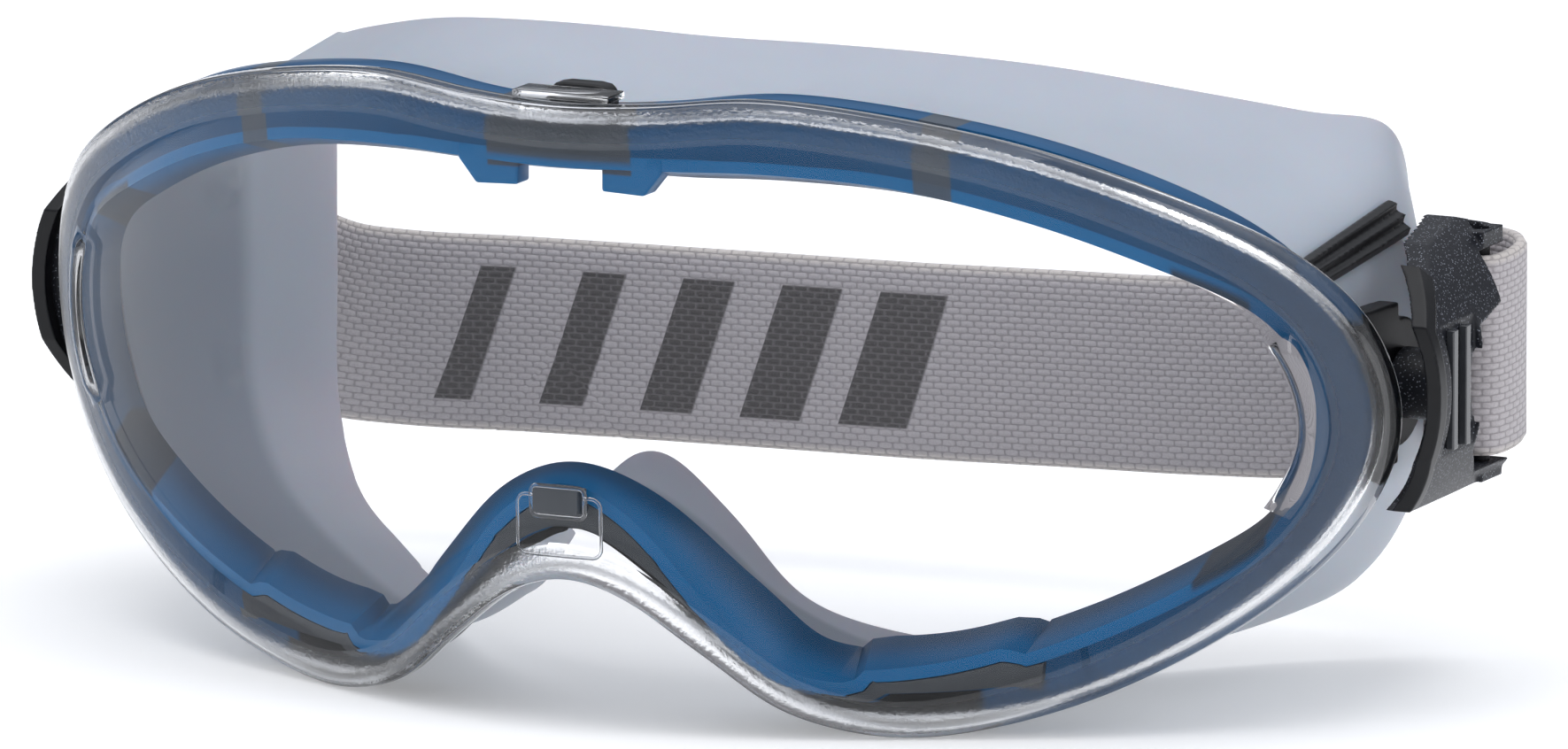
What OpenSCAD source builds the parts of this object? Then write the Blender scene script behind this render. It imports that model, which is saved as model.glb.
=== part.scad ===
// Wrap-around safety goggles: a clear lens clipped to a hard frame, a soft face
// seal behind it, and an elastic headband whose two clips pivot on the frame.
// X runs across the face, Y from the lens back towards the head, Z up.
// The wearer's left is +X. The origin is under the middle of the whole part.

/* [Lens] */
// Radius of the wrap-around bow of the lens
lens_bow_r = 120; // [118:0.5:124]
// Thickness of the lens plate
lens_t = 2.2; // [1.8:0.1:2.3]
// Depth of the moulded rim round the lens
rim_depth = 5; // [4:0.1:5.2]
// Thickness of the rim wall
rim_wall = 2.2; // [1.6:0.1:2.4]
// Width of the tab that the top catch holds
tab_w = 13; // [11:0.5:15]

/* [Frame] */
// Clearance between the lens and the frame
seat_gap = 0.4; // [0.3:0.05:0.5]
// Width of the raised lip round the eye opening
lip_w = 1.6; // [1.2:0.1:1.8]
// Thickness of the soft inlay in the front face
inlay_t = 1; // [0.8:0.1:1.2]
// Width of the catch that holds the lens at the top
catch_w = 8.3; // [7:0.1:8.5]
// How far the catch can be pressed down
catch_travel = 1.5; // [1:0.1:1.6]

/* [Face seal] */
// Thickness of the soft wall
seal_wall = 1.8; // [1.4:0.1:2.2]
// How far the wall sits inside the frame's edge
seal_inset = 2.4; // [2.4:0.1:2.8]
// Height of one ridge on the side strips
ridge_h = 0.7; // [0.5:0.1:0.9]

/* [Clips] */
// Outer radius of a clip's bowed side
clip_r = 22; // [21.6:0.1:22.4]
// Thickness of a clip's bowed side
clip_wall = 2.2; // [1.8:0.1:2.6]
// Radius of the pivot pins
pin_r = 2; // [1.6:0.1:2.2]
// Radial running clearance of a clip on its pin
pin_gap = 0.05; // [0.02:0.01:0.1]
// Radius of the bar that the band turns round
bar_r = 1.4; // [1.2:0.1:1.5]

/* [Headband] */
// Width of the elastic band
band_w = 25; // [24:0.5:25.5]
// Thickness of the elastic band
band_t = 1.6; // [1.2:0.1:1.8]
// Length of the adjuster along the band
slider_len = 11; // [9:0.5:12]

/* [Hidden] */
$fn = 48;

// Each outline is half of a closed loop, from the top middle to the bottom middle.
// It is mirrored and smoothed. All outlines have the same number of points, so
// that a point of one lies beside the same point of the next.

// Outer edge of the lens: x, z, how much further in the frame's face ends there
LENS_EDGE = [
    [0, 41.8, 0], [12, 42.4, 0], [26, 43.7, 0], [42, 41.7, 0], [57, 37.7, 0],
    [71, 31.1, 0], [82, 23.3, 0], [88.6, 13, 0], [90.2, 0, 0], [85.3, -12.3, 0],
    [75, -22.7, 0], [59, -31.8, 0], [41, -36.4, 1.8], [27, -33.7, 0.4], [17, -26.2, 0],
    [8, -19.6, 1.6], [0, -17.3, 3.6]
];
// Outer edge of the frame behind the lens rim: x, z, depth behind the lens surface
FRAME_EDGE = [
    [0, 40.6, 12.5], [12, 41.8, 10.5], [26, 43.5, 10], [42, 41.7, 10], [57, 37.7, 10],
    [70.5, 31, 10], [79.5, 23.2, 10], [84.6, 13, 10], [85.6, 1, 10], [81.5, -11.3, 10],
    [72, -21.8, 10], [58, -30.4, 10], [41, -33.4, 10], [27.5, -32, 9], [18, -25.4, 8],
    [9, -16.6, 7], [0, -11.6, 6.5]
];
// Edge of the eye opening: x, z, how far the rear edge closes in
EYE_EDGE = [
    [0, 34.2, 2], [13, 34.4, 2], [26, 34.6, 2], [41, 33.2, 2], [56, 28.8, 2],
    [69, 22.6, 2], [78, 16.6, 2], [82.2, 8.5, 2.2], [82, -2, 2.4], [78, -11, 2.6],
    [70, -17.2, 2.8], [57, -23.8, 2.8], [42, -28.6, 2.8], [27.5, -28.6, 3.6],
    [18.2, -20.8, 4.4], [9.2, -9.8, 3], [0, -5.2, 2]
];
// Rounded shoulder half way along the face seal: x, z, y
SEAL_SHOULDER = [
    [0, 38.8, 30], [14, 39.2, 30.5], [28, 39.4, 33], [42, 37.6, 39], [55, 34.4, 48],
    [68, 30, 60], [77.5, 25.5, 71], [80.5, 13, 76.5], [80.5, 0, 77], [79.5, -13, 76],
    [72.5, -24, 71], [58, -31, 61], [41, -34, 47], [27, -30.5, 35], [16.5, -23.5, 27],
    [9, -14.5, 22], [0, -9.5, 20]
];
// Edge of the face seal that meets the face: x, z, y
SEAL_LIP = [
    [0, 43, 45], [14, 43, 46.2], [28, 42.2, 50], [42, 40.4, 56.3], [55, 37, 66],
    [65.5, 33.4, 77], [72.2, 30, 87.5], [73.6, 17, 90], [73.6, 0, 90.2], [73.2, -15, 89.5],
    [68.5, -26.5, 85.5], [57.5, -31.5, 76], [42, -33, 58], [29, -29.8, 43],
    [17.5, -24.6, 34], [9, -13.4, 29.5], [0, -6.2, 28]
];
// Middle line of the band from one bar round the head side to the other: x, y, z
BAND_LINE = [
    [-82, 89.6, 0.5], [-84.7, 86, 2.8], [-85.6, 82, 4.5], [-85.4, 77.8, 5],
    [-86.2, 75.9, 5], [-88, 75.1, 5], [-89.8, 75.9, 5], [-90.6, 77.8, 5],
    [-90.7, 82.5, 4.2], [-88.8, 87.6, 1.5], [-84, 92.6, -3.5],
    [-77, 96.8, -7], [-67, 100, -8.2], [-54, 102.6, -8.3], [-38, 104.5, -8.3],
    [-19, 105.8, -8.2], [0, 106.2, -8], [19, 105.8, -7.4], [38, 104.4, -6.6],
    [54, 102.2, -5.1], [64, 100.2, -1.6], [72, 98, 2.6], [79.5, 95.3, 4.8],
    [86, 91.3, 5.4], [89.7, 86.6, 5.5], [90.8, 82, 5.2], [90.6, 77.8, 5],
    [89.8, 75.9, 5], [88, 75.1, 5], [86.2, 75.9, 5], [85.4, 77.8, 5]
];
// Middle line of the tail between the bar and the adjuster: x, y, z
TAIL_LINE = [
    [85.4, 78.4, 5], [85.6, 82, 5], [84.4, 86, 5.4], [81.4, 89.4, 5.2],
    [77.8, 92, 4.8], [74.8, 93.6, 4.2]
];

steps = 3;                     // smoothing steps between two outline points
lens_middle = [0, 12];         // inner rings of the lens shrink towards this point
lens_rings = [0.2, 0.4, 0.55, 0.68, 0.8, 0.87, 0.94];
shoulder_in = 3;               // width of the rounded shoulder of the lens rim
lens_forward = 2.5;            // how far the middle of the lens stands forward
lean_mid = 0.05;               // lean of the lens from the vertical at its middle
lean_side = 0.11;              // further lean towards the sides
lean_reach = 50;               // distance over which the lean builds up
lean_top = 42;                 // height at which the lean is zero

edge_step = 1.8;               // drop of the lens rim from its face to its outer edge
step_in = 1;                   // inset of the ring half way down that drop
tab_z = [40.6, 42.1, 43.2];    // root, underside and top of the lens tab
tab_back = 5.6;                // depth of the lens tab
slot = [3.4, -9, -5.2];        // half width, bottom and top of the nose slot
tooth = [5.6, 11.6, 31.4, 36]; // sides, bottom and top of a tooth above the bridge
catch_y = [6.2, 9.4];          // front and back of the top catch
catch_z = [38.7, 42.6, 43.4];  // bottom of the catch, foot and top of its button
nose_lug = [3, -8.6, -5.6];    // half width, bottom and top of the nose catch

clip_z = 4.5;                  // height of the pivot
pivot_y = 58.5;                // depth of the pivot
clip_axis_x = 73;              // middle of the clip's bow
bar_at = [88, 77.8, 5];        // middle of the bar
bar_half = 14.6;               // half the length of the bar
bracket_x = [83.3, 86.2];      // inner and outer face of a side bracket
boss_r = 4.4;                  // radius of the boss round the pivot
pocket_gap = 0.25;             // clearance of the top catch in its pocket
seal_gap = 0.25;               // the seal's root stands this far behind the frame

inlay_from = 33;               // first and last outline step that carries the inlay
inlay_to = 63;

slider_at = [67.6, 99.25, 0.3];
slider_dir = [-16, 4.8, -8.6]; // the band's direction at the adjuster

function ease(t) = let (u = min(max(t, 0), 1)) u * u * (3 - 2 * u);
function lean(x) = lean_mid + lean_side * ease(abs(x) / lean_reach);
function front_y(x, z) =
    lens_bow_r - sqrt(pow(lens_bow_r, 2) - x * x) - lens_forward + lean(x) * (lean_top - z);
function on_front(p, depth) = [p[0], front_y(p[0], p[1]) + depth, p[1]];

// A smooth curve through control points
function between(a, b, c, d, t) =
    0.5 * (2 * b + (c - a) * t + (2 * a - 5 * b + 4 * c - d) * t * t
    + (3 * b - a - 3 * c + d) * t * t * t);
function flip(p) = [for (k = [0 : len(p) - 1]) k == 0 ? -p[0] : p[k]];
function whole(half) = concat(half, [for (k = [len(half) - 2 : -1 : 1]) flip(half[k])]);
function closed_curve(half) =
    let (c = whole(half), m = len(c))
    [for (i = [0 : m - 1], j = [0 : steps - 1])
        between(c[(i + m - 1) % m], c[i], c[(i + 1) % m], c[(i + 2) % m], j / steps)];
function open_curve(c, n) =
    let (m = len(c))
    concat([for (i = [0 : m - 2], j = [0 : n - 1])
        between(c[max(i - 1, 0)], c[i], c[i + 1], c[min(i + 2, m - 1)], j / n)], [c[m - 1]]);

// An outline moved inwards by a distance, or by one distance per point
function edge_dir(c, i) =
    let (m = len(c), a = c[(i + m - 1) % m], b = c[(i + 1) % m],
        d = [b[0] - a[0], b[1] - a[1]]) d / norm(d);
function inset(c, by) =
    [for (i = [0 : len(c) - 1]) let (t = edge_dir(c, i), d = is_list(by) ? by[i] : by)
        concat([c[i][0] + t[1] * d, c[i][1] - t[0] * d],
            [for (k = [2 : 1 : len(c[i]) - 1]) c[i][k]])];
function third(c) = [for (p = c) p[2]];
function shrink(p, f) = [p[0] * f, lens_middle[1] + (p[1] - lens_middle[1]) * f];
function at_step(c, u) = let (i = floor(u)) c[i] + (c[(i + 1) % len(c)] - c[i]) * (u - i);
function unit(v) = v / norm(v);

lens_edge = closed_curve(LENS_EDGE);
function seat_in(extra) = [for (p = lens_edge) rim_wall + seat_gap + extra + max(0, p[2])];
frame_edge = closed_curve(FRAME_EDGE);
eye_edge = closed_curve(EYE_EDGE);
seal_shoulder = closed_curve(SEAL_SHOULDER);
seal_lip = closed_curve(SEAL_LIP);
band_line = open_curve(BAND_LINE, 3);
tail_line = open_curve(TAIL_LINE, 3);
around = len(lens_edge);

// The whole part stands on its lowest point, with its middle over the origin
low_z = min([for (p = lens_edge) p[1]]);
front_most = min([for (p = lens_edge) front_y(p[0], p[1])]);
back_most = max([for (p = band_line) p[1]]) + band_t / 2;
module stand() translate([0, -(front_most + back_most) / 2, -low_z]) children();
module both(side) scale([side, 1, 1]) children();

// A solid from sections that all have the same number of points
module sweep(sections, closed = false) {
    n = len(sections);
    m = len(sections[0]);
    last = closed ? n - 1 : n - 2;
    caps = closed ? [] : [[for (k = [m - 1 : -1 : 0]) k],
        [for (k = [0 : m - 1]) (n - 1) * m + k]];
    sides = [for (i = [0 : last], k = [0 : m - 1])
        let (a = i * m + k, b = i * m + (k + 1) % m,
            c = ((i + 1) % n) * m + (k + 1) % m, d = ((i + 1) % n) * m + k)
        each [[a, b, c], [a, c, d]]];
    polyhedron([for (s = sections) each s], concat(caps, sides), convexity = 8);
}

// A disc from rings, with a middle point in front and one behind
module disc(rings, front, back) {
    n = len(rings[0]);
    m = len(rings);
    sides = [for (k = [0 : m - 2], i = [0 : n - 1])
        let (a = k * n + i, b = k * n + (i + 1) % n, c = b + n, d = a + n)
        each [[a, c, b], [a, d, c]]];
    ends = [for (i = [0 : n - 1])
        each [[m * n, i, (i + 1) % n], [m * n + 1, (m - 1) * n + (i + 1) % n, (m - 1) * n + i]]];
    polyhedron(concat([for (r = rings) each r], [front, back]), concat(sides, ends),
        convexity = 8);
}

module box(from, to) translate(from) cube(to - from);

module lens_plate() {
    plate = inset(lens_edge, shoulder_in);
    inner = inset(lens_edge, rim_wall);
    rings = concat(
        [for (f = lens_rings) [for (p = plate) on_front(shrink(p, f), 0)]],
        [[for (p = plate) on_front(p, 0)],
            [for (p = inset(lens_edge, step_in)) on_front(p, 0.4)],
            [for (p = lens_edge) on_front(p, edge_step)],
            [for (p = lens_edge) on_front(p, rim_depth)],
            [for (p = inner) on_front(p, rim_depth)],
            [for (p = inner) on_front(p, lens_t)]],
        [for (k = [len(lens_rings) - 1 : -1 : 0])
            [for (p = plate) on_front(shrink(p, lens_rings[k]), lens_t)]]);
    disc(rings, on_front(lens_middle, 0), on_front(lens_middle, lens_t));
}

module lens() {
    w = tab_w / 2;
    y = front_y(0, lean_top) + 0.8;
    color([0.86, 0.9, 0.95, 0.4]) stand() difference() {
        union() {
            lens_plate();
            box([-w, y, tab_z[1]], [w, tab_back, tab_z[2]]);
            box([-w, y, tab_z[0]], [w, y + 1.4, tab_z[1] + 0.3]);
        }
        box([-slot[0], -3, slot[1]], [slot[0], 4, slot[2]]);
    }
}

function under_inlay(i) = i >= inlay_from && i <= inlay_to;
module frame_ring() {
    seat = inset(lens_edge, seat_in(0.2));
    lip = inset(eye_edge, -lip_w);
    rear = inset(eye_edge, third(eye_edge));
    plate_back = lens_t + seat_gap;
    rim_back = rim_depth + seat_gap;
    sweep([for (i = [0 : around - 1])
        let (face = plate_back + (under_inlay(i) ? inlay_t + 0.05 : 0.02))
        [on_front(seat[i], face), on_front(seat[i], rim_back),
            on_front(frame_edge[i], rim_back), on_front(frame_edge[i], frame_edge[i][2]),
            on_front(rear[i], frame_edge[i][2]), on_front(eye_edge[i], plate_back),
            on_front(lip[i], plate_back), on_front(lip[i], face)]], closed = true);
}

module frame() {
    color([0.08, 0.33, 0.55]) stand() difference() {
        union() {
            frame_ring();
            for (s = [-1, 1])
                both(s) box([tooth[0], 1.2, tooth[2]], [tooth[1], 4.4, tooth[3]]);
        }
        for (s = [-1, 1])
            both(s) box([bracket_x[0] - 0.1, 44.9, -10], [95, 64, 19]);
        box([-catch_w / 2 - pocket_gap, catch_y[0] - 0.3, catch_z[0] - 1.8],
            [catch_w / 2 + pocket_gap, 12, 50]);
    }
}

module frame_inlay() {
    seat = inset(lens_edge, seat_in(0.4));
    lip = inset(eye_edge, -lip_w - 0.15);
    front = lens_t + seat_gap + 0.05;
    color([0.25, 0.27, 0.3]) stand()
        sweep([for (i = [inlay_from + 1 : inlay_to - 1])
            [on_front(seat[i], front), on_front(seat[i], front + inlay_t - 0.1),
                on_front(lip[i], front + inlay_t - 0.1), on_front(lip[i], front)]]);
}

module top_catch() {
    w = catch_w / 2;
    color([0.1, 0.1, 0.11]) stand() union() {
        box([-w, catch_y[0], catch_z[0]], [w, catch_y[1], catch_z[1]]);
        box([-w + 0.8, catch_y[0] + 0.4, catch_z[1] - 0.1],
            [w - 0.8, catch_y[1] - 0.2, catch_z[2]]);
    }
}

module nose_catch() {
    color([0.25, 0.27, 0.3]) stand()
        box([-nose_lug[0], -0.6, nose_lug[1]],
            [nose_lug[0], front_y(0, -7) + lens_t + seat_gap - 0.05, nose_lug[2]]);
}

module face_seal() {
    root = inset(frame_edge, seal_inset);
    root_in = inset(root, seal_wall);
    shoulder = inset(seal_shoulder, seal_wall);
    lip_in = inset(seal_lip, seal_wall);
    color([0.74, 0.77, 0.81]) stand()
        sweep([for (i = [0 : around - 1])
            let (y = frame_edge[i][2] + seal_gap, a = root[i], a_in = root_in[i],
                b = seal_shoulder[i], b_in = shoulder[i], c = seal_lip[i], c_in = lip_in[i])
            [on_front(a, y), [b[0], b[2], b[1]], [c[0], c[2], c[1]],
                [c_in[0], c_in[2], c_in[1]], [b_in[0], b_in[2], b_in[1]], on_front(a_in, y)]],
            closed = true);
}

// A ribbed soft strip that lies along the seal above the clip
module side_strip(side) {
    from = 18.4;
    pitch = 0.38;
    ridges = 3;
    depth_range = [0.1, 0.97];
    root = inset(frame_edge, seal_inset);
    function skin(u, f, off) =
        let (a = at_step(inset(root, -off), u), b = at_step(inset(seal_shoulder, -off), u),
            ya = front_y(a[0], a[1]) + at_step(frame_edge, u)[2])
        [a[0] + (b[0] - a[0]) * f, ya + (b[2] - ya) * f, a[1] + (b[1] - a[1]) * f];
    color([0.22, 0.22, 0.24]) stand() both(side)
        sweep([for (k = [0 : 2 * ridges])
            let (u = from + k * pitch / 2, top = 1 + (k % 2) * ridge_h)
            [skin(u, depth_range[0], 0.3), skin(u, depth_range[0], top),
                skin(u, depth_range[1], top), skin(u, depth_range[1], 0.3)]]);
}

// A shape drawn in the Y-Z plane and given a thickness along X
module side_plate(x_from, x_to)
    translate([x_from, 0, 0]) rotate([90, 0, 90]) linear_extrude(x_to - x_from) children();
module across(r, x_from, x_to)
    translate([x_from, pivot_y, clip_z]) rotate([0, 90, 0]) cylinder(r = r, h = x_to - x_from);

module side_bracket(side) {
    color([0.12, 0.12, 0.13]) stand() both(side) difference() {
        union() {
            side_plate(bracket_x[0], bracket_x[1]) union() {
                polygon([[45.3, -6], [58, -5.5], [58, 14.5], [45.3, 15]]);
                translate([pivot_y, clip_z]) circle(r = 8);
            }
        }
        across(pin_r, bracket_x[0] - 1, bracket_x[1] + 1);
        box([80, 34, -30], [84.9, 49.8, 40]);
    }
}

module pivot_pin(side) {
    color([0.7, 0.7, 0.72]) stand() both(side) across(pin_r, bracket_x[0] + 0.2, 92);
}

// The bowed side of a clip, as the space between two cylinders along Y
module bowed(outer, inner, y_from, y_to) {
    difference() {
        translate([clip_axis_x, y_from, clip_z]) rotate([-90, 0, 0])
            cylinder(r = outer, h = y_to - y_from, $fn = 96);
        translate([clip_axis_x, y_from - 1, clip_z]) rotate([-90, 0, 0])
            cylinder(r = inner, h = y_to - y_from + 2, $fn = 96);
    }
}

// The clip and its front edge trim, seen from the side: y, z
CLIP_SIDE = [
    [51.4, -4], [54.6, -9.8], [56.2, -11.2], [68, -11], [81, -10.6], [81, -8.4],
    [70, -8.2], [65, -4.6], [63, 4.5], [65, 11], [72.6, 12.6], [73.4, 18.4],
    [81, 18.4], [81, 20.6], [75, 22.2], [63, 20.8], [57, 18], [51.2, 12.6]
];
CLIP_TRIM = [
    [49.2, -3], [53, -10.6], [54.6, -9.8], [51.4, -4], [51.2, 12.6], [57, 18],
    [55.6, 19.6], [48.9, 13.4]
];
module strap_clip(side) {
    color([0.16, 0.16, 0.18]) stand() both(side) difference() {
        union() {
            intersection() {
                side_plate(80, 100) polygon(CLIP_SIDE);
                bowed(clip_r, clip_r - clip_wall, 47, 82);
            }
            across(boss_r, bracket_x[1] + 0.3, 93);
            for (z = [-10.6, 18.4])
                box([86, 74.6, z], [90, 80.8, z + 2.2]);
        }
        across(pin_r + pin_gap, 80, 92.4);
        translate([bar_at[0], bar_at[1], clip_z - 17]) cylinder(r = bar_r, h = 34);
        box([clip_axis_x + clip_r - 1.6, 54, clip_z - 8], [100, 64, clip_z + 8]);
    }
}

module clip_edge(side) {
    color([0.05, 0.05, 0.06]) stand() both(side) intersection() {
        bowed(clip_r + 0.6, clip_r - 1.3, 47, 64);
        side_plate(80, 100) polygon(CLIP_TRIM);
    }
}

module clip_rib(side) {
    x = clip_axis_x + clip_r - 1.6;
    color([0.1, 0.1, 0.11]) stand() both(side)
        for (y = [55.6, 59.4])
            box([x, y, clip_z - 7.4], [x + 1.1, y + 1.4, clip_z + 7.4]);
}

module strap_bar(side) {
    color([0.12, 0.12, 0.13]) stand() both(side)
        translate([bar_at[0], bar_at[1], bar_at[2] - bar_half])
            cylinder(r = bar_r, h = 2 * bar_half);
}

// Band sections stand square to the middle line, with the width as upright as it can be
function along(c, i) = unit(c[min(i + 1, len(c) - 1)] - c[max(i - 1, 0)]);
function upright(t) = unit([0, 0, 1] - t[2] * t);
function band_section(c, i) =
    let (t = along(c, i), w = upright(t) * band_w / 2, n = cross(t, upright(t)) * band_t / 2)
    [c[i] - w - n, c[i] - w + n, c[i] + w + n, c[i] + w - n];
module band(c) sweep([for (i = [0 : len(c) - 1]) band_section(c, i)]);

module headband() {
    color([0.72, 0.7, 0.71]) stand() band(band_line);
}

module band_tail() {
    color([0.72, 0.7, 0.71]) stand() band(tail_line);
}

// Two rows of stitches hold the sewn loop at one end of the band
module band_stitching() {
    color([0.62, 0.6, 0.62]) stand()
        for (k = [25, 28], z = [-9 : 3 : 9]) {
            t = along(band_line, k);
            out = cross(t, upright(t)) * (band_t / 2 + 0.62);
            at = band_line[k] + out + upright(t) * z;
            translate(at) cylinder(r = 0.25, h = 1.8, center = true, $fn = 16);
        }
}

// A sleeve round the band, square to its direction
module adjuster() {
    d = unit(slider_dir);
    turn = atan2(d[1], d[0]);
    tilt = -asin(d[2]);
    hole = [band_w + 2.4, band_t + 2.6];
    outer = [hole[0] + 3.4, hole[1] + 1.8];
    color([0.13, 0.13, 0.14]) stand() translate(slider_at) rotate([0, tilt, turn])
        difference() {
            cube([slider_len, outer[1], outer[0]], center = true);
            cube([slider_len + 2, hole[1], hole[0]], center = true);
            for (x = [-1, 1])
                translate([x * slider_len / 4, 5, 0])
                    cube([slider_len / 4, 10, hole[0]], center = true);
        }
}

lens();
frame();
frame_inlay();
top_catch();
nose_catch();
face_seal();
side_strip(1);  // side_strip_left
side_strip(-1);  // side_strip_right
side_bracket(1);  // side_bracket_left
side_bracket(-1);  // side_bracket_right
pivot_pin(1);  // pivot_pin_left
pivot_pin(-1);  // pivot_pin_right
strap_clip(1);  // strap_clip_left
strap_clip(-1);  // strap_clip_right
clip_edge(1);  // clip_edge_left
clip_edge(-1);  // clip_edge_right
clip_rib(1);  // clip_rib_left
clip_rib(-1);  // clip_rib_right
strap_bar(1);  // strap_bar_left
strap_bar(-1);  // strap_bar_right
headband();
band_tail();
band_stitching();
adjuster();
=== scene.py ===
# %% [markdown]
# # Safety goggles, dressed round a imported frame
#
# The CAD model of the goggles already fixes every size, every place and every joint.
# This lesson gives it its looks: a clear lens with a rounded rim, a tinted hard frame,
# a soft seal, moulded clips and a knitted elastic band. It starts by loading the
# frame, and keeps the CAD model's box, so that the looks can be compared with it.

# %% Load the frame
import math

import bmesh
import bpy
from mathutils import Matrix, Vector


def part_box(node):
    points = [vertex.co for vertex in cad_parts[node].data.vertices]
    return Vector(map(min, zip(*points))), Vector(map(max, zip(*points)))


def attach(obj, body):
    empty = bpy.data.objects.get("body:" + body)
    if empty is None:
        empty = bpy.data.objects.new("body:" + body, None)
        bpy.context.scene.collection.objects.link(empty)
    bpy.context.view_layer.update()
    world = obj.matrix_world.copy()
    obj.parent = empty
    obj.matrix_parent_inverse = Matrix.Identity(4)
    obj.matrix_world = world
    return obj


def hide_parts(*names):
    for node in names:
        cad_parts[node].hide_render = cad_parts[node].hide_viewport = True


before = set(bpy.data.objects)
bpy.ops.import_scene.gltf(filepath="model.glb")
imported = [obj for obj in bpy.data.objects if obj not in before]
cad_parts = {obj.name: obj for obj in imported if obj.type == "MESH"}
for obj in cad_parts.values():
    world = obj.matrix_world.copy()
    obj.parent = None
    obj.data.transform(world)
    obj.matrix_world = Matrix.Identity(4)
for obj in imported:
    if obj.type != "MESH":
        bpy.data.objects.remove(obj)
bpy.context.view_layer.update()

# %% [markdown]
# ## The camera
#
# A product shot is taken from far away with a long lens, so that near and far parts
# keep the same scale. The camera looks from the wearer's left and a little above.
# The view is a little wider than the goggles, and its middle is to the left of the
# bridge, because the band and the clip take up room on the other side. The width is
# measured through the middle of the goggles, which is behind the point aimed at.

# %% Camera
MM = 0.001
AZIMUTH, ELEVATION = math.radians(25), math.radians(10.8)
VIEW_WIDTH = 192.5 * MM
DISTANCE = 3.5
MIDDLE_BEHIND = 40 * MM
SENSOR = 36.0
towards_camera = Vector((math.sin(AZIMUTH) * math.cos(ELEVATION),
                         -math.cos(AZIMUTH) * math.cos(ELEVATION), math.sin(ELEVATION)))
view_right = Vector((math.cos(AZIMUTH), math.sin(AZIMUTH), 0))
view_up = towards_camera.cross(view_right)

# %% [markdown]
# The outlines below are drawn in millimetres from a point on the front of the lens,
# 36.4 mm above its lowest edge. `place` carries a point from that drawing into the
# shared frame, in metres. The lens node's own box says where the drawing sits.

# %% From the drawing to the frame
LENS_LOW, LENS_FRONT = -36.4, -2.49
lens_low_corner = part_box("lens")[0]
drawing_origin = Vector((0, lens_low_corner.y - LENS_FRONT * MM,
                         lens_low_corner.z - LENS_LOW * MM))


def place(p):
    return drawing_origin + Vector(p) * MM


aim = drawing_origin + view_right * 27.55 * MM + view_up * 8.37 * MM
camera = bpy.data.objects.new("camera", bpy.data.cameras.new("camera"))
bpy.context.scene.collection.objects.link(camera)
camera.data.sensor_width = SENSOR
camera.data.lens = SENSOR * (DISTANCE + MIDDLE_BEHIND) / VIEW_WIDTH
camera.data.clip_end = 50
camera.location = aim + towards_camera * DISTANCE
camera.rotation_mode = "QUATERNION"
camera.rotation_quaternion = (-towards_camera).to_track_quat("-Z", "Y")
bpy.context.scene.camera = camera
print("camera lens, mm:", round(camera.data.lens))

# %% [markdown]
# ## Writing a finish as an expression
#
# A procedural material is a small sum. Wiring it node by node hides the sum, so a
# socket is wrapped in a class that knows plus, minus and times, and adds the Math
# node for each. `Finish` holds one material. Its `node` method makes any other node:
# settings go in first, then the values or links of its sockets.

# %% Sockets that can be added and multiplied
class Value:
    def __init__(self, finish, socket):
        self.finish, self.socket = finish, socket

    def math(self, operation, *others):
        return self.finish.node("Math", {"operation": operation}, [self, *others])

    def __add__(self, other): return self.math("ADD", other)
    def __radd__(self, other): return self.math("ADD", other)
    def __mul__(self, other): return self.math("MULTIPLY", other)
    def __rmul__(self, other): return self.math("MULTIPLY", other)
    def __sub__(self, other): return self.math("SUBTRACT", other)
    def __rsub__(self, other): return self.finish.number(other).math("SUBTRACT", self)
    def __truediv__(self, other): return self.math("DIVIDE", other)
    def __pow__(self, other): return self.math("POWER", other)
    def absolute(self): return self.math("ABSOLUTE")
    def floor(self): return self.math("FLOOR")
    def fract(self): return self.math("FRACT")

    def above(self, edge, soft):
        """0 below the edge and 1 above it, over a soft step"""
        return self.finish.node("MapRange", {"interpolation_type": "SMOOTHSTEP"},
                                {"Value": self, "From Min": edge - soft,
                                 "From Max": edge + soft}, out="Result")

    def within(self, low, high, soft):
        return self.above(low, soft) * (1 - self.above(high, soft))


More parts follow.
